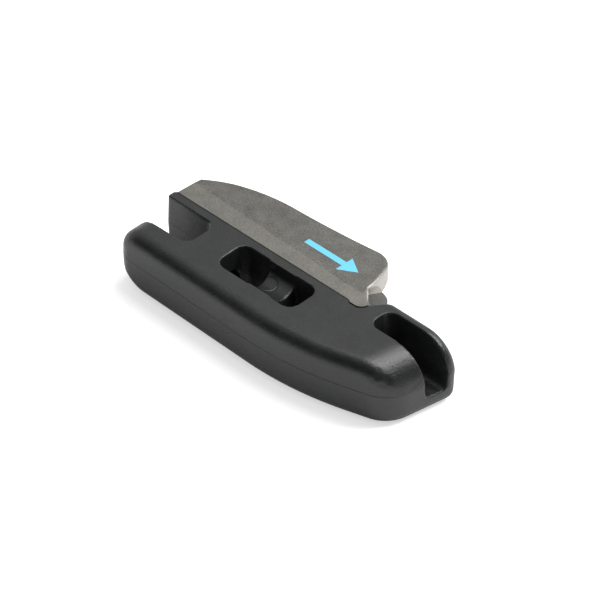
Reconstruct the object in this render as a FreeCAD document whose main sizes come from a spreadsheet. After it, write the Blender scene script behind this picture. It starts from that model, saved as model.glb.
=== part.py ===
import FreeCAD, Part
import math
import os
import re
import Sketcher
from FreeCAD import Placement, Rotation, Vector

# In-line jam cleat for a dinghy's control line, lying on its side.
# X runs from the stern end to the bow end that takes the load, Y from the keel
# side to the mouth of the rope groove, and Z up through the thickness.
# While it is built, x = 0 is the cleat's stern end, y = 0 the seat that it is
# screwed to and z = 0 the plane that halves the thickness.

doc = FreeCAD.newDocument("jamCleat")
sheet = doc.addObject("Spreadsheet::Sheet", "sizes")

# name, millimetres or degrees, what it is
sizes = [
    ("bodyThickness", 18.0, "moulded body across its two flat sides"),
    ("partingShift", 0.6, "parting plane above the middle of the thickness"),
    ("hullDraft", 1.2, "draft of the outer walls, degrees"),
    ("sternLead", 1.35, "stern end ahead of the cleat's own end"),
    ("keelDepthStern", 20.4, "keel below the seat at the stern"),
    ("keelDepth", 21.6, "keel below the seat at its bend"),
    ("keelBendX", 60.5, "where the keel starts to rise"),
    ("keelBendRadius", 95.0, "radius of the keel's bend"),
    ("bowFootX", 87.0, "lower corner of the bow"),
    ("bowFootDepth", 13.6, "depth of that corner below the seat"),
    ("bowDeckX", 91.2, "upper corner of the bow"),
    ("deckHeight", 7.5, "deck ahead of the cleat above the seat"),
    ("bowRound", 9.8, "radius in which the upper flat side runs down to the bow"),
    ("bowFootRound", 10.0, "plan radius between keel and bow"),
    ("rollOverlap", 0.04, "clearance that keeps those cuts just outside the wall they run into"),
    ("hornCorner", 4.5, "plan radius of the stern horn"),
    ("hornRoundAbove", 7.3, "rounding of the stern horn's upper half across the thickness"),
    ("hornRoundBelow", 9.2, "rounding of the stern horn's lower half"),
    ("keelRound", 3.8, "rounding round the upper flat side"),
    ("underRound", 3.2, "rounding round the lower flat side"),
    ("deckRound", 2.4, "rounding round the deck"),
    ("sternRound", 1.3, "rounding of the stern beside the seat"),
    ("shoulderLean", 3.8, "lean of the shoulder over the deck's height"),
    ("shoulderRound", 0.8, "rounding of the shoulder's top"),
    ("channelNear", 12.4, "keel side wall of notch and windows below the seat"),
    ("channelFar", 2.8, "seat side wall of notch and windows below the seat"),
    ("pocketDraft", 1.5, "draft of the pockets, degrees"),
    ("notchEndX", 16.2, "inner end of the stern notch"),
    ("windowStartX", 27.0, "stern end of the two windows"),
    ("windowEndX", 52.4, "bow end of the two windows"),
    ("barSternX", 38.3, "tie bar's stern face at the keel side"),
    ("barBowX", 46.0, "tie bar's bow face at the keel side"),
    ("barFlare", 2.6, "how far the stern face leans along the bar"),
    ("barLean", 1.0, "how far the bow face leans along the bar"),
    ("pocketCorner", 2.6, "corner radius of notch and windows"),
    ("saddleDepth", 4.4, "rope saddle in the tie bar, below the flat side"),
    ("saddleRadius", 6.2, "radius of that saddle"),
    ("slotNear", 3.0, "keel side wall of the bow slot below the seat"),
    ("slotFar", 4.3, "deck side wall of the bow slot above the seat"),
    ("slotLead", 5.0, "inner end of the bow slot ahead of the cleat"),
    ("slotCorner", 2.9, "corner radius of the slot's inner end"),
    ("slotDepth", 13.2, "floor of the bow slot below the flat side"),
    ("slotFloorRound", 2.0, "rounding along the slot's floor"),
    ("ropeBore", 6.0, "bore from the stern notch to the windows"),
    ("cleatLength", 65.2, "aluminium cleat from end to end"),
    ("toeClearance", 0.15, "between the cleat's toe and the shoulder"),
    ("toeDipX", 60.3, "where the base steps down to the toe"),
    ("toeDip", 0.5, "toe below the seat"),
    ("toeRadius", 2.4, "rounding under the toe"),
    ("toeHeight", 2.5, "height of the toe"),
    ("cleatProud", 0.15, "cleat past the body's flat side, each side"),
    ("tailHeight", 8.0, "cleat at its stern end"),
    ("tailLean", 0.5, "lean of the stern end over that height"),
    ("backTurnX", 9.0, "where the back's tighter curve ends"),
    ("backTurnHeight", 13.3, "cheek there"),
    ("tailRadius", 33.0, "radius of the tighter curve"),
    ("backX", 25.1, "where the back turns from curved to hollow"),
    ("backHeight", 16.8, "cheek there"),
    ("backRadius", 52.0, "radius of the back's wider curve"),
    ("hollowRadius", 280.0, "radius of the long shallow hollow before the crown"),
    ("crownX", 52.8, "highest point of the cheeks"),
    ("crownHeight", 19.2, "height of that point"),
    ("browX", 58.4, "where the crown's curve ends"),
    ("browHeight", 16.1, "height of that point"),
    ("browRadius", 6.2, "radius of the crown's curve"),
    ("throatX", 60.9, "front of the cheeks above the foot"),
    ("throatHeight", 6.6, "height of that point"),
    ("frontRadius", 28.0, "radius of the cheeks' front"),
    ("footRadius", 9.0, "hollow above the foot"),
    ("flankHeight", 5.8, "crease along the cheek above the seat, at the stern"),
    ("flankFall", 0.034, "how much the crease falls for each millimetre to the bow"),
    ("cheekDraft", 2.6, "lean of the cheek above the crease, degrees"),
    ("cheekRound", 0.7, "rounding of the cheeks' outer edges"),
    ("grooveFloor", 3.6, "floor of the rope groove above the seat"),
    ("grooveWidth", 2.6, "rope groove at its floor"),
    ("mouthWidth", 8.4, "rope groove at the crown"),
    ("funnelRadius", 8.8, "flared front of the groove at the throat"),
    ("funnelFlare", 1.2, "growth of that radius for each millimetre to the bow"),
    ("funnelSill", 6.3, "lower end of the flare above the seat"),
    ("toothStart", 0.5, "foot of the teeth above the groove's floor"),
    ("toothPitch", 3.1, "spacing of the teeth"),
    ("toothDepth", 0.8, "depth of the teeth"),
    ("toothShare", 0.7, "part of the pitch taken by the gentle side of a tooth"),
    ("toothAngle", 38.0, "slant of the teeth from upright, degrees"),
    ("toothEndX", 61.5, "foot of the last tooth"),
    ("screwSternX", 19.6, "first fixing screw"),
    ("screwSpacing", 21.6, "distance between the screws"),
    ("screwDiameter", 3.9, "shank of the screws"),
    ("screwLength", 8.0, "screw with its head"),
    ("headDiameter", 7.4, "countersunk head"),
    ("headLand", 0.3, "straight edge of the head"),
    ("headSink", 0.1, "top of the head below the groove's floor"),
    ("driverAccess", 8.4, "round clearance for the screwdriver"),
    ("screwTip", 1.4, "pointed end of the screw"),
    ("recessWidth", 0.9, "arm of the cross recess"),
    ("recessSpan", 3.8, "cross recess from end to end"),
    ("recessDepth", 1.2, "depth of the cross recess"),
    ("screwClearance", 0.05, "between screw and its hole, each side"),
]
names = [name for name, value, note in sizes]
for row, (name, value, note) in enumerate(sizes, start=1):
    sheet.set(f"A{row}", name)
    sheet.set(f"B{row}", str(value))
    sheet.set(f"C{row}", note)
    sheet.setAlias(f"B{row}", name)
doc.recompute()


def bound(formula):
    """The formula with each size's name made a reference to the sheet."""
    return re.sub("[A-Za-z]+", lambda word: "sizes." * (word.group() in names) + word.group(), formula)


def worth(formula):
    return float(sheet.evalExpression(bound(formula)))


def newBody(label):
    body = doc.addObject("PartDesign::Body", label)
    body.Label = label
    return body


def plane(body, role):
    return next(item for item in body.Origin.OriginFeatures if item.Role == role)


def outline(body, name, role, corners, arcs=None, lift=None):
    """Closed sketch through corners given as formulas; arcs maps a side to its radius,
    a minus sign bending it the other way."""
    sketch = body.newObject("Sketcher::SketchObject", name)
    sketch.AttachmentSupport = [(plane(body, role), "")]
    sketch.MapMode = "FlatFace"
    if lift:
        sketch.setExpression("AttachmentOffset.Base.z", bound(lift))
    arcs = arcs or {}
    points = [Vector(worth(across), worth(up), 0) for across, up in corners]
    for side, start in enumerate(points):
        end = points[(side + 1) % len(points)]
        if side in arcs:
            sketch.addGeometry(arcBetween(start, end, worth(arcs[side])))
        else:
            sketch.addGeometry(Part.LineSegment(start, end))
    ends = {side: (1, 2) for side in range(len(points))}
    for side, formula in arcs.items():
        if worth(formula) < 0:
            ends[side] = (2, 1)
    for side in range(len(points)):
        after = (side + 1) % len(points)
        sketch.addConstraint(Sketcher.Constraint("Coincident", side, ends[side][1], after, ends[after][0]))
    for side, (across, up) in enumerate(corners):
        for kind, formula in (("DistanceX", across), ("DistanceY", up)):
            at = sketch.addConstraint(Sketcher.Constraint(kind, -1, 1, side, ends[side][0], worth(formula)))
            sketch.setExpression(f"Constraints[{at}]", bound(formula))
    for side, formula in arcs.items():
        at = sketch.addConstraint(Sketcher.Constraint("Radius", side, abs(worth(formula))))
        sketch.setExpression(f"Constraints[{at}]", bound(formula.lstrip("-")))
    return sketch


def arcBetween(start, end, radius):
    """Arc of the given radius; positive turns left on its way, negative turns right."""
    if radius < 0:
        return arcBetween(end, start, -radius)
    chord = end - start
    rise = math.sqrt(radius ** 2 - (chord.Length / 2) ** 2)
    centre = (start + end) * 0.5 + Vector(-chord.y, chord.x, 0).normalize() * rise
    angles = [math.atan2(point.y - centre.y, point.x - centre.x) for point in (start, end)]
    return Part.ArcOfCircle(Part.Circle(centre, Vector(0, 0, 1), radius), *angles)


def circleSketch(body, name, role, across, up, radius):
    sketch = body.newObject("Sketcher::SketchObject", name)
    sketch.AttachmentSupport = [(plane(body, role), "")]
    sketch.MapMode = "FlatFace"
    centre = Vector(worth(across), worth(up), 0)
    sketch.addGeometry(Part.Circle(centre, Vector(0, 0, 1), worth(radius)))
    for kind, formula in (("DistanceX", across), ("DistanceY", up)):
        at = sketch.addConstraint(Sketcher.Constraint(kind, -1, 1, 0, 3, worth(formula)))
        sketch.setExpression(f"Constraints[{at}]", bound(formula))
    at = sketch.addConstraint(Sketcher.Constraint("Radius", 0, worth(radius)))
    sketch.setExpression(f"Constraints[{at}]", bound(radius))
    return sketch


def extrude(body, kind, sketch, up, down=None, draft=None, reverse=False):
    """Pad or pocket from the sketch, by up on one side and down on the other."""
    feature = body.newObject(f"PartDesign::{kind}", sketch.Name + kind)
    feature.Profile = sketch
    if down:
        feature.SideType = "Two sides"
        feature.setExpression("Length2", bound(down))
    feature.setExpression("Length", bound(up))
    feature.Reversed = reverse
    if draft:
        feature.setExpression("TaperAngle", bound(draft))
        if down:
            feature.setExpression("TaperAngle2", bound(draft))
    doc.recompute()
    return feature


def slantedPocket(body, sketch, length, direction):
    """Pocket along a slanting direction, given as formulas along X, Y and Z."""
    cut = extrude(body, "Pocket", sketch, length)
    cut.UseCustomVector = True
    cut.Direction = Vector(*[worth(formula) for formula in direction])
    for axis, formula in zip("xyz", direction):
        cut.setExpression(f"Direction.{axis}", bound(formula))
    doc.recompute()
    return cut


def mirrored(body, feature):
    """The same feature on the other side of mid-thickness."""
    twin = body.newObject("PartDesign::Mirrored", feature.Name + "Twin")
    twin.Originals = [feature]
    twin.MirrorPlane = (plane(body, "XY_Plane"), [""])
    body.Tip = twin
    doc.recompute()
    return twin


def edgesOf(feature, test):
    """Names of the feature's edges whose middle point passes the test."""
    found = []
    for index, edge in enumerate(feature.Shape.Edges, start=1):
        first, last = edge.ParameterRange
        middle = edge.valueAt((first + last) / 2)
        if test(middle, edge):
            found.append(f"Edge{index}")
    return found


def roundEdges(body, name, base, test, radius, kind="Fillet"):
    edges = edgesOf(base, test)
    if not edges:
        raise RuntimeError(f"{name} finds no edge")
    feature = body.newObject(f"PartDesign::{kind}", name)
    feature.Base = (base, edges)
    feature.setExpression("Radius" if kind == "Fillet" else "Size", bound(radius))
    doc.recompute()
    return feature


def turned(body, kind, name, across, corners):
    """Revolution or groove about the line along Y through x = across."""
    sketch = outline(body, name, "XY_Plane", corners)
    sketch.setExpression("AttachmentOffset.Base.x", bound(across))
    feature = body.newObject(f"PartDesign::{kind}", name + kind)
    feature.Profile = sketch
    feature.ReferenceAxis = (sketch, ["V_Axis"])
    doc.recompute()
    return feature


def upright(edge):
    ends = [vertex.Point for vertex in edge.Vertexes]
    return len(ends) == 2 and abs(ends[0].z - ends[1].z) > 0.9 * edge.Length


# Moulded body: the hull


def hullShape(body):
    half = "bodyThickness / 2"
    hull = outline(
        body,
        "hull",
        "XY_Plane",
        [
            ("-sternLead", "deckHeight"),
            ("-sternLead", "-keelDepthStern"),
            ("keelBendX", "-keelDepth"),
            ("bowFootX", "-bowFootDepth"),
            ("bowDeckX", "deckHeight"),
        ],
        lift="partingShift",
    )
    extrude(body, "Pad", hull, f"{half} - partingShift", f"{half} + partingShift", "-hullDraft")
    seat = outline(
        body,
        "seat",
        "XY_Plane",
        [
            ("-sternLead * 2", "0"),
            ("toeDipX - toeClearance", "0"),
            ("toeDipX - toeClearance + 2 * toeDip", "-toeDip - toeClearance"),
            ("cleatLength - toeRadius", "-toeDip - toeClearance"),
            ("cleatLength + toeClearance", "toeRadius - toeDip"),
            ("cleatLength + toeClearance", "toeHeight"),
            ("cleatLength + toeClearance + shoulderLean", "deckHeight"),
            ("cleatLength + toeClearance + shoulderLean", "deckHeight * 2"),
            ("-sternLead * 2", "deckHeight * 2"),
        ],
        {3: "toeRadius + toeClearance"},
    )
    return extrude(body, "Pocket", seat, "bodyThickness", "bodyThickness")


def near(value, target, reach=0.6):
    return abs(value - target) < reach


def notchShape(body):
    """Stern notch, open at the stern and through the thickness."""
    notch = outline(
        body,
        "notch",
        "XY_Plane",
        [
            ("-sternLead * 2", "-channelNear"),
            ("notchEndX", "-channelNear"),
            ("notchEndX", "-channelFar"),
            ("-sternLead * 2", "-channelFar"),
        ],
    )
    pocket = extrude(body, "Pocket", notch, "bodyThickness", "bodyThickness", "pocketDraft")
    return roundEdges(
        body,
        "notchCorners",
        pocket,
        lambda at, edge: upright(edge) and near(at.x, worth("notchEndX")) and at.y < -1,
        "pocketCorner",
    )


def hullRounds(body, tip):
    """Corners in plan first, then the ends rolled over, then the rounding round both flat sides."""
    corners = (("keelBendRadius", "keelBendX"), ("bowFootRound", "bowFootX"), ("hornCorner", "-sternLead"))
    for name, across in corners:
        tip = roundEdges(
            body,
            name,
            tip,
            lambda at, edge: upright(edge) and near(at.x, worth(across)) and at.y < -worth("channelNear") - 0.6,
            name,
        )
    bowRoll(body)
    tip = hornRolls(body)
    tip = roundEdges(
        body, "keelRounding", tip, lambda at, edge: onKeel(at, edge) and at.z > worth("saddleDepth"), "keelRound"
    )
    tip = roundEdges(
        body, "underRounding", tip, lambda at, edge: onKeel(at, edge) and at.z < -worth("saddleDepth"), "underRound"
    )
    tip = roundEdges(body, "deckRounding", tip, onDeck, "deckRound")

    def stern(at, edge):
        return near(at.x, -worth("sternLead")) and at.y > -worth("channelFar") and abs(at.y) > 0.05

    return roundEdges(body, "sternRounding", tip, stern, "sternRound")


def bowRoll(body):
    """Cut along the raked bow that rolls the upper flat side down into it."""
    rake = "((bowDeckX - bowFootX) / (deckHeight + bowFootDepth))"
    below = "keelDepth * 1.2"
    end = f"(bowFootX - {rake} * ({below} - bowFootDepth) + rollOverlap)"
    top = "bodyThickness / 2"
    roll = outline(
        body,
        "bowRoll",
        "XZ_Plane",
        [
            (f"{end} - bowRound", top),
            (end, f"{top} - bowRound"),
            (f"{end} + bowRound", f"{top} - bowRound"),
            (f"{end} + bowRound", f"{top} + 1"),
            (f"{end} - bowRound", f"{top} + 1"),
        ],
        {0: "-bowRound"},
        below,
    )
    slantedPocket(body, roll, "keelDepth * 3", (rake, "1", "0"))


def hornRolls(body):
    """Cuts that round the stern horn across the thickness, above and below."""
    end = "(-sternLead - rollOverlap)"
    half = "bodyThickness / 2"
    for name, side in (("hornRoundAbove", ""), ("hornRoundBelow", "-")):
        roll = outline(
            body,
            name,
            "XZ_Plane",
            [
                (f"{end} + {name}", f"{side}({half})"),
                (end, f"{side}({half} - {name})"),
                (f"{end} - {name}", f"{side}({half} - {name})"),
                (f"{end} - {name}", f"{side}({half} + 1)"),
                (f"{end} + {name}", f"{side}({half} + 1)"),
            ],
            {0: side + name},
            "channelNear - 1",
        )
        tip = extrude(body, "Pocket", roll, "keelDepth", reverse=True)
    return tip


def keelAt(x):
    """Height of the keel's straight sides, without its bend."""
    corners = [
        (-worth("sternLead"), -worth("keelDepthStern")),
        (worth("keelBendX"), -worth("keelDepth")),
        (worth("bowFootX"), -worth("bowFootDepth")),
    ]
    start, end = (corners[0], corners[1]) if x < corners[1][0] else (corners[1], corners[2])
    return start[1] + (end[1] - start[1]) * (x - start[0]) / (end[0] - start[0])


def onKeel(at, edge):
    seam = near(at.z, worth("partingShift"), 0.05)
    inner = upright(edge) and worth("notchEndX") < at.x < worth("cleatLength + slotLead") + 8
    return at.y < keelAt(at.x) + 1.6 and not seam and not inner


def onDeck(at, edge):
    seam = near(at.z, worth("partingShift"), 0.05)
    return at.y > worth("deckHeight") - 0.4 and at.x > worth("cleatLength + toeClearance + shoulderLean") + 1 and not seam


def shoulderRounds(body, tip):
    top = worth("cleatLength + toeClearance + shoulderLean")
    return roundEdges(
        body,
        "shoulderRounding",
        tip,
        lambda at, edge: near(at.x, top, 0.5) and near(at.y, worth("deckHeight"), 0.3) and upright(edge),
        "shoulderRound",
    )


def windows(body):
    """Two windows through the thickness, with the tie bar left between them."""
    aft = outline(
        body,
        "aftWindow",
        "XY_Plane",
        [
            ("windowStartX", "-channelNear"),
            ("barSternX", "-channelNear"),
            ("barSternX - barFlare", "-channelFar"),
            ("windowStartX", "-channelFar"),
        ],
    )
    extrude(body, "Pocket", aft, "bodyThickness", "bodyThickness", "pocketDraft")
    fore = outline(
        body,
        "foreWindow",
        "XY_Plane",
        [
            ("barBowX", "-channelNear"),
            ("windowEndX", "-channelNear"),
            ("windowEndX", "-channelFar"),
            ("barBowX - barLean", "-channelFar"),
        ],
    )
    both = extrude(body, "Pocket", fore, "bodyThickness", "bodyThickness", "pocketDraft")
    ends = (worth("windowStartX"), worth("windowEndX"))
    return roundEdges(
        body,
        "windowCorners",
        both,
        lambda at, edge: upright(edge) and min(abs(at.x - end) for end in ends) < 0.6 and at.y < -1,
        "pocketCorner",
    )


def saddles(body):
    """Hollow for the rope across the tie bar, on both flat sides."""
    middle = "(sqrt(2 * saddleRadius * saddleDepth - saddleDepth ^ 2) - channelNear)"
    lift = "(bodyThickness / 2 - saddleDepth + saddleRadius)"
    hollow = outline(
        body,
        "saddle",
        "YZ_Plane",
        [
            ("-channelNear", "bodyThickness / 2"),
            ("-channelFar", f"{lift} - sqrt(saddleRadius ^ 2 - (channelFar + {middle}) ^ 2)"),
            ("-channelFar", "bodyThickness"),
            ("-channelNear", "bodyThickness"),
        ],
        {0: "saddleRadius"},
        "windowStartX + pocketCorner",
    )
    cut = extrude(body, "Pocket", hollow, "windowEndX - windowStartX - 2 * pocketCorner", reverse=True)
    return mirrored(body, cut)


def bowSlot(body):
    """Slot open at the bow and on the upper flat side, closed by a floor below."""
    slot = outline(
        body,
        "slot",
        "XY_Plane",
        [
            ("cleatLength + slotLead", "-slotNear"),
            ("bowDeckX * 1.1", "-slotNear"),
            ("bowDeckX * 1.1", "slotFar"),
            ("cleatLength + slotLead", "slotFar"),
        ],
        lift="bodyThickness / 2",
    )
    cut = extrude(body, "Pocket", slot, "slotDepth", draft="-pocketDraft")
    corners = roundEdges(
        body,
        "slotCorners",
        cut,
        lambda at, edge: upright(edge) and near(at.x, worth("cleatLength + slotLead")),
        "slotCorner",
    )
    floor = worth("bodyThickness / 2 - slotDepth")
    return roundEdges(
        body,
        "slotFloor",
        corners,
        lambda at, edge: near(at.z, floor, 0.05) and at.x < worth("bowFootX") - 2 and abs(at.y) < 5,
        "slotFloorRound",
    )


def ropeBore(body):
    bore = circleSketch(body, "bore", "YZ_Plane", "-(channelNear + channelFar) / 2", "0", "ropeBore / 2")
    bore.setExpression("AttachmentOffset.Base.z", bound("notchEndX - pocketCorner"))
    doc.recompute()
    return extrude(body, "Pocket", bore, "windowStartX - notchEndX + 2 * pocketCorner", reverse=True)


screwPlaces = {"stern": "screwSternX", "bow": "screwSternX + screwSpacing"}


def pilotHoles(body):
    radius = "screwDiameter / 2 + screwClearance"
    for end, across in screwPlaces.items():
        deep = "grooveFloor - headSink - screwLength - screwClearance"
        tip = turned(
            body,
            "Groove",
            f"{end}Pilot",
            across,
            [("0", deep), (radius, f"{deep} + screwTip"), (radius, "1"), ("0", "1")],
        )
    return tip


body = newBody("body")
hullShape(body)
tip = notchShape(body)
tip = hullRounds(body, tip)
tip = shoulderRounds(body, tip)
windows(body)
saddles(body)
bowSlot(body)
ropeBore(body)
tip = pilotHoles(body)


# Aluminium cleat


def cleatShape(body):
    half = "bodyThickness / 2 + cleatProud"
    side = outline(
        body,
        "cheek",
        "XY_Plane",
        [
            ("0", "0"),
            ("toeDipX", "0"),
            ("toeDipX + 2 * toeDip", "-toeDip"),
            ("cleatLength - toeRadius", "-toeDip"),
            ("cleatLength", "toeRadius - toeDip"),
            ("cleatLength", "toeHeight"),
            ("throatX", "throatHeight"),
            ("browX", "browHeight"),
            ("crownX", "crownHeight"),
            ("backX", "backHeight"),
            ("backTurnX", "backTurnHeight"),
            ("tailLean", "tailHeight"),
        ],
        {
            3: "toeRadius",
            5: "-footRadius",
            6: "frontRadius",
            7: "browRadius",
            8: "-hollowRadius",
            9: "backRadius",
            10: "tailRadius",
        },
    )
    block = extrude(body, "Pad", side, half, half)
    lean = outline(
        body,
        "cheekLean",
        "YZ_Plane",
        [
            ("flankHeight", half),
            ("flankHeight + 20", f"{half} - 20 * tan(cheekDraft * 1deg)"),
            ("flankHeight + 20", f"{half} + 1"),
            ("flankHeight", f"{half} + 1"),
        ],
    )
    cut = slantedPocket(body, lean, "cleatLength * 1.1", ("1", "-flankFall", "0"))
    return mirrored(body, cut)


def cheekEdges(body, block):
    """Rounds the outer edges of both cheeks, all but the crease."""
    return roundEdges(
        body,
        "cheekRounding",
        block,
        lambda at, edge: abs(at.z) > worth("mouthWidth") and at.y > worth("toeHeight") and edge.Length < 30,
        "cheekRound",
    )


def ropeGroove(body):
    wider = "(mouthWidth + (mouthWidth - grooveWidth) / (crownHeight - grooveFloor)) / 2"
    groove = outline(
        body,
        "groove",
        "YZ_Plane",
        [
            ("grooveFloor", "-grooveWidth / 2"),
            ("crownHeight + 1", f"-{wider}"),
            ("crownHeight + 1", wider),
            ("grooveFloor", "grooveWidth / 2"),
        ],
    )
    return extrude(body, "Pocket", groove, "cleatLength * 1.1", reverse=True)


def funnel(body):
    """Flared front of the groove above the foot."""
    profile = outline(
        body,
        "funnel",
        "XZ_Plane",
        [
            ("throatX - funnelRadius / funnelFlare", "0"),
            ("throatX + 1", "0"),
            ("throatX + 1", "funnelRadius + funnelFlare"),
        ],
        lift="-funnelSill",
    )
    cone = body.newObject("PartDesign::Groove", "funnelGroove")
    cone.Profile = profile
    cone.ReferenceAxis = (profile, ["H_Axis"])
    cone.Angle = 180
    cone.Reversed = True
    doc.recompute()


def teeth(body):
    """Slanted teeth in both cheeks; their steep sides face the stern, so that a rope
    pulled to the bow is drawn down into the groove."""
    spread = "((mouthWidth - grooveWidth) / (crownHeight - grooveFloor) / 2)"
    face = f"grooveWidth / 2 + {spread} * toothStart"
    count = math.ceil(worth("(toothEndX + toothPitch) / toothPitch"))
    corners = [(f"toothEndX - {count + 1} * toothPitch", f"{face} - 1")]
    for tooth in range(count, 0, -1):
        start = f"toothEndX - {tooth} * toothPitch"
        corners.append((start, f"{face} + toothDepth / 8"))
        corners.append((f"{start} + toothShare * toothPitch", f"{face} + toothDepth"))
    corners.append(("toothEndX + toothPitch / 3", f"{face} - 1"))
    comb = outline(body, "comb", "XZ_Plane", corners, lift="-(grooveFloor + toothStart)")
    cut = slantedPocket(body, comb, "crownHeight", ("-tan(toothAngle * 1deg)", "1", spread))
    return mirrored(body, cut)


def fixingHoles(body):
    """Countersunk holes, with round room above them for the screwdriver."""
    shank = "screwDiameter / 2 + screwClearance"
    head = "headDiameter / 2 + screwClearance"
    rim = "grooveFloor - headSink - headLand"
    for end, across in screwPlaces.items():
        tip = turned(
            body,
            "Groove",
            f"{end}Fixing",
            across,
            [
                ("0", "-1"),
                (shank, "-1"),
                (shank, f"{rim} - (headDiameter - screwDiameter) / 2"),
                (head, rim),
                (head, "grooveFloor"),
                ("driverAccess / 2", "grooveFloor"),
                ("driverAccess / 2", "crownHeight + 1"),
                ("0", "crownHeight + 1"),
            ],
        )
    return tip


cleat = newBody("cleat")
block = cleatShape(cleat)
cheekEdges(cleat, block)
ropeGroove(cleat)
funnel(cleat)
teeth(cleat)
fixingHoles(cleat)


# Fixing screws


def screw(name, across):
    """Countersunk screw with a cross recess, its axis along Y."""
    piece = newBody(name)
    top = "(grooveFloor - headSink)"
    turned(
        piece,
        "Revolution",
        f"{name}Shank",
        across,
        [
            ("0", top),
            ("headDiameter / 2", top),
            ("headDiameter / 2", f"{top} - headLand"),
            ("screwDiameter / 2", f"{top} - headLand - (headDiameter - screwDiameter) / 2"),
            ("screwDiameter / 2", f"{top} - screwLength + screwTip"),
            ("0", f"{top} - screwLength"),
        ],
    )
    arm = "recessWidth / 2"
    reach = "recessSpan / 2"
    quarter = [(arm, arm), (arm, reach), (f"-{arm}", reach)]
    corners = []
    for turn in range(4):
        corners += quarter
        quarter = [(negated(up), right) for right, up in quarter]
    recess = outline(
        piece,
        f"{name}Recess",
        "XZ_Plane",
        [(f"{across} + {right}", up) for right, up in corners],
        lift=f"-{top}",
    )
    extrude(piece, "Pocket", recess, "recessDepth", draft="-pocketDraft", reverse=True)
    return piece


def negated(formula):
    return formula[1:] if formula.startswith("-") else f"-{formula}"


screws = [screw(f"{end}Screw", across) for end, across in screwPlaces.items()]
fixings = doc.addObject("Part::Compound", "fixing_screws")
fixings.Links = screws
fixings.Label = "fixing_screws"
doc.recompute()

# The part lies on its flat side with its middle over the frame's origin

parts = [body, cleat, fixings]
whole = Part.makeCompound([part.Shape for part in parts]).optimalBoundingBox()
resting = Vector(-whole.Center.x, -whole.Center.y, -whole.ZMin)
for part in parts:
    part.Placement = Placement(resting, Rotation())
doc.recompute()

for item in doc.Objects:
    if "Invalid" in item.State or "Error" in item.State:
        raise RuntimeError(f"{item.Name} is {item.State}")
for part in parts:
    if part.Shape.isNull() or not part.Shape.isValid():
        raise RuntimeError(f"{part.Label} has no valid shape")
    print(part.Label, len(part.Shape.Solids), round(part.Shape.Volume), part.Shape.optimalBoundingBox())
os.makedirs("parts", exist_ok=True)
for part in parts:
    part.Shape.exportStep(f"parts/{part.Label}.step")
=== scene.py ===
import math

import bmesh
import bpy
import numpy as np
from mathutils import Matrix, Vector


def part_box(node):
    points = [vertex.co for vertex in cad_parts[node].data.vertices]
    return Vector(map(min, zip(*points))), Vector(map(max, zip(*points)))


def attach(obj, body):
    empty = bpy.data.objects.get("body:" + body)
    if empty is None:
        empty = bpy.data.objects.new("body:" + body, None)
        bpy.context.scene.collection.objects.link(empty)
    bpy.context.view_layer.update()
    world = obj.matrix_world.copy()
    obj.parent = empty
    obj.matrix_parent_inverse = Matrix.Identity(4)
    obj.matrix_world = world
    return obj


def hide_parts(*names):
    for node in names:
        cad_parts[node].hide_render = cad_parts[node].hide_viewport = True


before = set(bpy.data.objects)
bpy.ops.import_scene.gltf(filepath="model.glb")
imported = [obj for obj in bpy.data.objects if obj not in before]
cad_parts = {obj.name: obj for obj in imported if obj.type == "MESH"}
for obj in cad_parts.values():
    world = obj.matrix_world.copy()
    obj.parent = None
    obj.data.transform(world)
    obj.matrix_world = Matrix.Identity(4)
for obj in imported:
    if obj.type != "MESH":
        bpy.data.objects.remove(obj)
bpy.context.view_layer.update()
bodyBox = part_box("body")
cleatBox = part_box("cleat")
millimetre = 0.001
toeDip = 0.5  # the cleat's toe reaches this far below the seat
seat = cleatBox[0][1] + toeDip * millimetre
middle = (bodyBox[0][2] + bodyBox[1][2]) / 2


# Millimetres from the cleat's stern end, the seat and mid-thickness, as a scene point.
def onPart(x, y, z):
    return Vector((cleatBox[0][0] + x * millimetre, seat + y * millimetre, middle + z * millimetre))


# Shader values and nodes


# A socket of a node tree. Sums, products and differences of values add Math nodes.
class Value:
    def __init__(self, nodes, socket):
        self.nodes = nodes
        self.socket = socket

    def math(self, operation, *others):
        return self.nodes.node("Math", {"operation": operation}, [self, *others])

    def __add__(self, other):
        return self.math("ADD", other)

    __radd__ = __add__

    def __mul__(self, other):
        return self.math("MULTIPLY", other)

    __rmul__ = __mul__

    def __sub__(self, other):
        return self.math("SUBTRACT", other)

    def __rsub__(self, other):
        return self.nodes.node("Math", {"operation": "SUBTRACT"}, [other, self])

    # 0 before the first end and 1 past the second, with a smooth step between them.
    def between(self, first, second):
        start, end = (0, 1) if first < second else (1, 0)
        low, high = min(first, second), max(first, second)
        settings = {"interpolation_type": "SMOOTHSTEP"}
        return self.nodes.node("MapRange", settings, [self, low, high, start, end])

    # 1 on a line of the given half width, in millimetres, fading out over the rest of its edge.
    def line(self, halfWidth, edge):
        return self.math("ABSOLUTE").between(edge * millimetre, halfWidth * millimetre)


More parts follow.
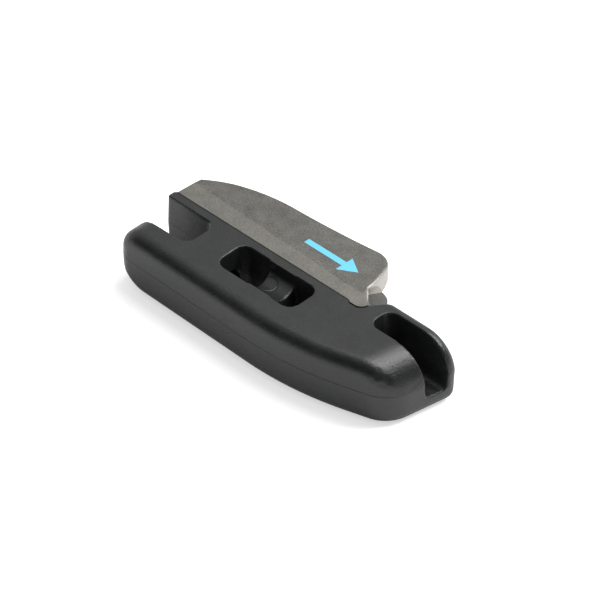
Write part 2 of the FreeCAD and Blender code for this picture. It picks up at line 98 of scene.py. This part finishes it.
class Nodes:
    def __init__(self, tree):
        self.tree = tree

    def node(self, kind, settings=None, inputs=(), output=0):
        made = self.tree.nodes.new("ShaderNode" + kind)
        for name, value in (settings or {}).items():
            setattr(made, name, value)
        pairs = inputs.items() if isinstance(inputs, dict) else enumerate(inputs)
        for socket, value in pairs:
            if isinstance(value, Value):
                self.tree.links.new(value.socket, made.inputs[socket])
            else:
                made.inputs[socket].default_value = value
        return Value(self, made.outputs[output])

    # How far a place lies along a direction.
    def along(self, place, direction):
        return self.node("VectorMath", {"operation": "DOT_PRODUCT"}, [place, direction], 1)

    def noise(self, place, scale, detail=2.0, roughness=0.5):
        inputs = {"Vector": place, "Scale": scale, "Detail": detail, "Roughness": roughness}
        return self.node("TexNoise", None, inputs)

    # The low colour where the amount is 0, the high one where it is 1; either may be a value.
    def colour(self, amount, low, high):
        low, high = (end if isinstance(end, Value) else (*end, 1) for end in (low, high))
        return self.node("Mix", {"data_type": "RGBA"}, {0: amount, 6: low, 7: high}, 2)

    def cameraRay(self):
        return self.node("LightPath", None, (), "Is Camera Ray")

    def glossyRay(self):
        return self.node("LightPath", None, (), "Is Glossy Ray")


# A material with one principled shader; its constants are set by name, with _ for a space.
class Paint(Nodes):
    def __init__(self, name, **constants):
        self.material = bpy.data.materials.new(name)
        self.material.use_nodes = True
        super().__init__(self.material.node_tree)
        self.shader = self.tree.nodes["Principled BSDF"]
        for socket, value in constants.items():
            self.shader.inputs[socket.replace("_", " ")].default_value = value

    def place(self):
        return self.node("TexCoord", None, (), "Object")

    def feed(self, socket, value):
        self.tree.links.new(value.socket, self.shader.inputs[socket])

    def bump(self, height, strength, depth):
        inputs = {"Strength": strength, "Distance": depth * millimetre, "Height": height}
        self.feed("Normal", self.node("Bump", None, inputs))


# Moulded nylon of the body

nylon = {
    "dark": (0.0075, 0.009, 0.008),
    "pale": (0.0155, 0.0175, 0.016),
    "grainScale": 2400,
    "flowScale": 700,
    "cloudScale": 160,
    "shine": 0.22,
    "bumpStrength": 0.6,
    "bumpDepth": 0.1,
    "partingHeight": 0.6,  # above mid-thickness
    "partingLine": (0.04, 0.14),  # half widths of the line and of its soft edge
    "pinPlace": (38.4, -6.4, 4.65),  # ejector pin's mark on the tie bar
    "pinRadius": 2.7,
    "pinLine": (0.08, 0.28),
}


# Fine grain, slow clouds and flow marks, with the parting line and a ring where the ejector pin stood.
def mouldedNylon():
    paint = Paint("mouldedNylon", Metallic=0.0)
    place = paint.place()
    grain = paint.noise(place, nylon["grainScale"], 3.0, 0.65)
    cloud = paint.noise(place, nylon["cloudScale"], 3.0, 0.55)
    flow = paint.noise(place, nylon["flowScale"], 4.0, 0.6)
    partingPlane = onPart(0, 0, nylon["partingHeight"]).z
    parting = (paint.along(place, (0, 0, 1)) - partingPlane).line(*nylon["partingLine"])
    pinCentre = tuple(onPart(*nylon["pinPlace"]))
    fromPin = paint.node("VectorMath", {"operation": "DISTANCE"}, [place, pinCentre], 1)
    pinRing = (fromPin - nylon["pinRadius"] * millimetre).line(*nylon["pinLine"])
    marks = parting.math("MAXIMUM", pinRing)
    amount = grain * 0.5 + cloud * 0.3 + flow * 0.2 - marks * 0.4
    paint.feed("Base Color", paint.colour(amount.between(0.3, 0.66), nylon["dark"], nylon["pale"]))
    paint.feed("Roughness", cloud * 0.1 + grain * 0.16 + nylon["shine"])
    paint.bump(grain * 1.4 + flow * 0.5 - marks * 2, nylon["bumpStrength"], nylon["bumpDepth"])
    return paint.material


# Anodised casting of the cleat

casting = {
    "dull": ((0.12, 0.117, 0.107), (0.235, 0.228, 0.209)),
    # the second pair is for the strip below the crease, painted lighter as painted light where that strip
    # faces the light
    "litStrip": ((0.155, 0.15, 0.135), (0.245, 0.237, 0.214)),
    # a painted highlight: faces turned to the bow are painted this lighter colour
    "bowLit": (0.46, 0.44, 0.41),
    "pitScale": 2600,
    "cloudScale": 260,
    "shine": 0.3,
    "bumpStrength": 0.6,
    "bumpDepth": 0.08,
    "creaseHeight": 5.8,  # above the seat at the stern end
    "creaseFall": 0.034,  # drop for each millimetre toward the bow
    "creaseLine": (0.05, 0.4),
    "stripEdge": 0.2,
    "bowLitFacing": (0.4, 0.8),  # how squarely a face looks to the bow before it is painted lighter, a painted highlight
}

arrow = {
    "tail": (37, 9.2, 9.15),
    "length": 18,
    "headLength": 5,
    "headSlope": 0.62,
    "width": 1.7,
    "softEdge": 0.1,
    "upperFace": (8.5, 8.7),  # above mid-thickness; the ink starts between the two
    "blue": (0.13, 0.52, 0.72),
}


# Plain arrow to the bow on the upper cheek, 1 on the ink: a strip as wide as the shaft, up to the
# head, and a triangle whose half width falls evenly from the head's back to its tip.
def printedArrow(paint, place):
    tail = onPart(*arrow["tail"])
    edge = arrow["softEdge"] * millimetre
    halfWidth = arrow["width"] / 2 * millimetre
    length = arrow["length"] * millimetre
    shaftEnd = length - arrow["headLength"] * millimetre
    forward = paint.along(place, (1, 0, 0)) - tail.x
    aside = (paint.along(place, (0, 1, 0)) - tail.y).math("ABSOLUTE")
    shaft = (
        forward.between(0, edge)
        * forward.between(shaftEnd + edge, shaftEnd)
        * aside.between(halfWidth + edge, halfWidth)
    )
    insideHead = (length - forward) * arrow["headSlope"] - aside
    head = insideHead.between(0, edge) * forward.between(shaftEnd, shaftEnd + edge)
    below, above = (middle + height * millimetre for height in arrow["upperFace"])
    upperFace = paint.along(place, (0, 0, 1)).between(below, above)
    return shaft.math("MAXIMUM", head) * upperFace


# Fine pits and clouds, a strip below the crease painted lighter as painted light, faces to the bow painted
# lighter as a painted highlight, and the arrow.
def anodisedCasting():
    paint = Paint("anodisedCasting")
    place = paint.place()
    pits = paint.noise(place, casting["pitScale"], 3.0, 0.7)
    cloud = paint.noise(place, casting["cloudScale"], 3.0, 0.55)
    corner = onPart(0, casting["creaseHeight"], 0)
    fall = casting["creaseFall"]
    aboveCrease = paint.along(place, (fall, 1, 0)) - (corner.x * fall + corner.y)
    stripEdge = casting["stripEdge"] * millimetre
    # the strip below the crease, whose colour is painted lighter as painted light
    strip = aboveCrease.between(stripEdge, -stripEdge)
    crease = aboveCrease.line(*casting["creaseLine"])
    amount = (pits * 0.75 + cloud * 0.25).between(0.3, 0.7)
    dull = paint.colour(amount, *casting["dull"])
    litStrip = paint.colour(amount, *casting["litStrip"])
    facing = paint.node("NewGeometry", None, (), "Normal")
    # faces turned to the bow painted lighter, a painted highlight
    towardBow = paint.along(facing, (1, 0, 0)).between(*casting["bowLitFacing"])
    metal = paint.colour(towardBow, paint.colour(strip, dull, litStrip), casting["bowLit"])
    ink = printedArrow(paint, place)
    paint.feed("Base Color", paint.colour(ink, metal, arrow["blue"]))
    paint.feed("Metallic", 1 - ink)
    paint.feed("Roughness", cloud * 0.1 + pits * 0.2 + strip * 0.08 + casting["shine"])
    paint.bump(pits - crease * 0.6 + ink * 0.2, casting["bumpStrength"], casting["bumpDepth"])
    return paint.material


# Stainless steel of the screws

steel = {"dark": (0.50, 0.49, 0.47), "pale": (0.62, 0.61, 0.59), "hazeScale": 900, "shine": 0.2}


# A thin haze over plain steel.
def stainlessSteel():
    paint = Paint("stainlessSteel", Metallic=1.0)
    haze = paint.noise(paint.place(), steel["hazeScale"], 3.0, 0.6)
    paint.feed("Base Color", paint.colour(haze.between(0.35, 0.65), steel["dark"], steel["pale"]))
    paint.feed("Roughness", haze * 0.2 + steel["shine"])
    return paint.material


finishes = {"body": mouldedNylon(), "cleat": anodisedCasting(), "fixing_screws": stainlessSteel()}
for node, material in finishes.items():
    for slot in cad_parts[node].material_slots:
        slot.material = material
print("materials", list(finishes))


# Body with the soft rims of a moulding

moulding = {
    "weld": 0.002,
    "grid": 0.33,
    "smoothing": 0.5,
    "passes": 2,
    "squareWithin": 0.5,  # how near to the seat's rims the surface is squared again
    "toeKept": 4,  # length at the cleat's toe that stays soft
}


# The rims under the cleat stay sharp, so that no gap shows along the joint: what lies near the seat
# is set level with it, and what also lies near a flat side is set flush with that side.
def squareSeat(mesh):
    near = moulding["squareWithin"] * millimetre
    places = np.empty(len(mesh.vertices) * 3, dtype=np.float32)
    mesh.vertices.foreach_get("co", places)
    x, y, z = places.reshape(-1, 3).T
    toe = cleatBox[1][0] - moulding["toeKept"] * millimetre
    bottom, top = bodyBox[0][2], bodyBox[1][2]
    rim = (x > cleatBox[0][0]) & (x < toe) & (np.abs(y - seat) < near)
    y[rim] = seat
    z[rim & (z > top - near)] = top
    z[rim & (z < bottom + near)] = bottom
    mesh.vertices.foreach_set("co", places)


# A merged copy of the body's mesh, in small even faces, each moved toward its neighbours' mean.
def softMoulding():
    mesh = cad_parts["body"].data.copy()
    welded = bmesh.new()
    welded.from_mesh(mesh)
    bmesh.ops.remove_doubles(welded, verts=welded.verts, dist=moulding["weld"] * millimetre)
    welded.to_mesh(mesh)
    welded.free()
    rough = bpy.data.objects.new("softMouldingRough", mesh)
    bpy.context.collection.objects.link(rough)
    evenFaces = rough.modifiers.new("evenFaces", "REMESH")
    evenFaces.mode = "VOXEL"
    evenFaces.voxel_size = moulding["grid"] * millimetre
    softRims = rough.modifiers.new("softRims", "SMOOTH")
    softRims.factor = moulding["smoothing"]
    softRims.iterations = moulding["passes"]
    evaluated = rough.evaluated_get(bpy.context.evaluated_depsgraph_get())
    finished = bpy.data.meshes.new_from_object(evaluated)
    squareSeat(finished)
    finished.shade_smooth()
    finished.materials.clear()
    finished.materials.append(finishes["body"])
    bpy.data.objects.remove(rough)
    piece = bpy.data.objects.new("softMoulding", finished)
    bpy.context.collection.objects.link(piece)
    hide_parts("body")
    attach(piece, "root")
    print("moulding faces", len(finished.polygons))


softMoulding()


# Table, light and camera

paper = {
    "size": 6,
    "tones": ((0.86, 0.86, 0.86), (0.88, 0.88, 0.88)),
    "cloudScale": 30,
    "cameraLift": 0.52,
    "glossyLift": 0.1,
}

softboxes = {
    "bowSoftbox": {"place": (0.25, 0.36, 0.52), "target": (0.03, 0, 0), "size": (0.30, 0.26), "watts": 3.6},
    "highSoftbox": {"place": (0.02, 0.24, 0.82), "target": (0, 0, 0), "size": (0.36, 0.36), "watts": 3.4},
}

room = {
    "light": (0.46, 0.46, 0.46),
    "dark": (0.006, 0.006, 0.006),
    "sweep": (0.7, 0.7, 0.7),
    "sweepSide": (-0.55, 0.78, 0.3),
    "sweepEdge": (0.0, 0.55),
}

view = {
    "azimuth": 44.25,
    "elevation": 40.57,
    "distance": 1,
    "target": (45.38, -1.754, 1.0),
    "focalLength": 4018,  # in pixels of the picture
    "pictureWidth": 600,
    "film": 36,
    "clipStart": 0.05,
}


# White paper; what the camera and the reflections see of it is lifted to white.
def tableTop():
    bpy.ops.mesh.primitive_plane_add(size=paper["size"], location=(0, 0, 0))
    table = bpy.context.object
    table.name = "table"
    paint = Paint("paper", Roughness=0.9, Specular_IOR_Level=0.0, Emission_Strength=1.0)
    cloud = paint.noise(paint.place(), paper["cloudScale"])
    paint.feed("Base Color", paint.colour(cloud, *paper["tones"]))
    lift = paint.cameraRay() * paper["cameraLift"] + paint.glossyRay() * paper["glossyLift"]
    paint.feed("Emission Color", paint.colour(lift, (0, 0, 0), (1, 1, 1)))
    table.data.materials.append(paint.material)


def softbox(name, place, target, size, watts):
    light = bpy.data.lights.new(name, "AREA")
    light.shape = "RECTANGLE"
    light.size, light.size_y = size
    light.energy = watts
    lamp = bpy.data.objects.new(name, light)
    lamp.location = place
    lamp.rotation_euler = (Vector(place) - Vector(target)).to_track_quat("Z", "Y").to_euler()
    bpy.context.collection.objects.link(lamp)


# An evenly lit room; the camera and the reflections see a white sweep behind the part and a dark
# room before it.
def studioRoom():
    world = bpy.data.worlds.new("studio")
    world.use_nodes = True
    nodes = Nodes(world.node_tree)
    direction = nodes.node("TexCoord", None, (), "Generated")
    behind = nodes.along(direction, room["sweepSide"]).between(*room["sweepEdge"])
    seen = nodes.colour(behind, room["dark"], room["sweep"])
    shade = nodes.colour(nodes.cameraRay() + nodes.glossyRay(), room["light"], seen)
    nodes.tree.links.new(shade.socket, nodes.tree.nodes["Background"].inputs["Color"])
    bpy.context.scene.world = world


# The direction to the camera is turned by the azimuth from the front and raised by the elevation.
def photoCamera():
    azimuth, elevation = math.radians(view["azimuth"]), math.radians(view["elevation"])
    level = math.cos(elevation)
    away = Vector((math.sin(azimuth) * level, -math.cos(azimuth) * level, math.sin(elevation)))
    camera = bpy.data.cameras.new("camera")
    camera.sensor_width = view["film"]
    camera.lens = view["focalLength"] / view["pictureWidth"] * view["film"]
    camera.clip_start = view["clipStart"]
    holder = bpy.data.objects.new("camera", camera)
    holder.location = onPart(*view["target"]) + away * view["distance"]
    holder.rotation_euler = away.to_track_quat("Z", "Y").to_euler()
    bpy.context.collection.objects.link(holder)
    bpy.context.scene.camera = holder


tableTop()
for name, box in softboxes.items():
    softbox(name, **box)
studioRoom()
photoCamera()
bpy.context.scene.view_settings.view_transform = "Standard"
print("stage ready")
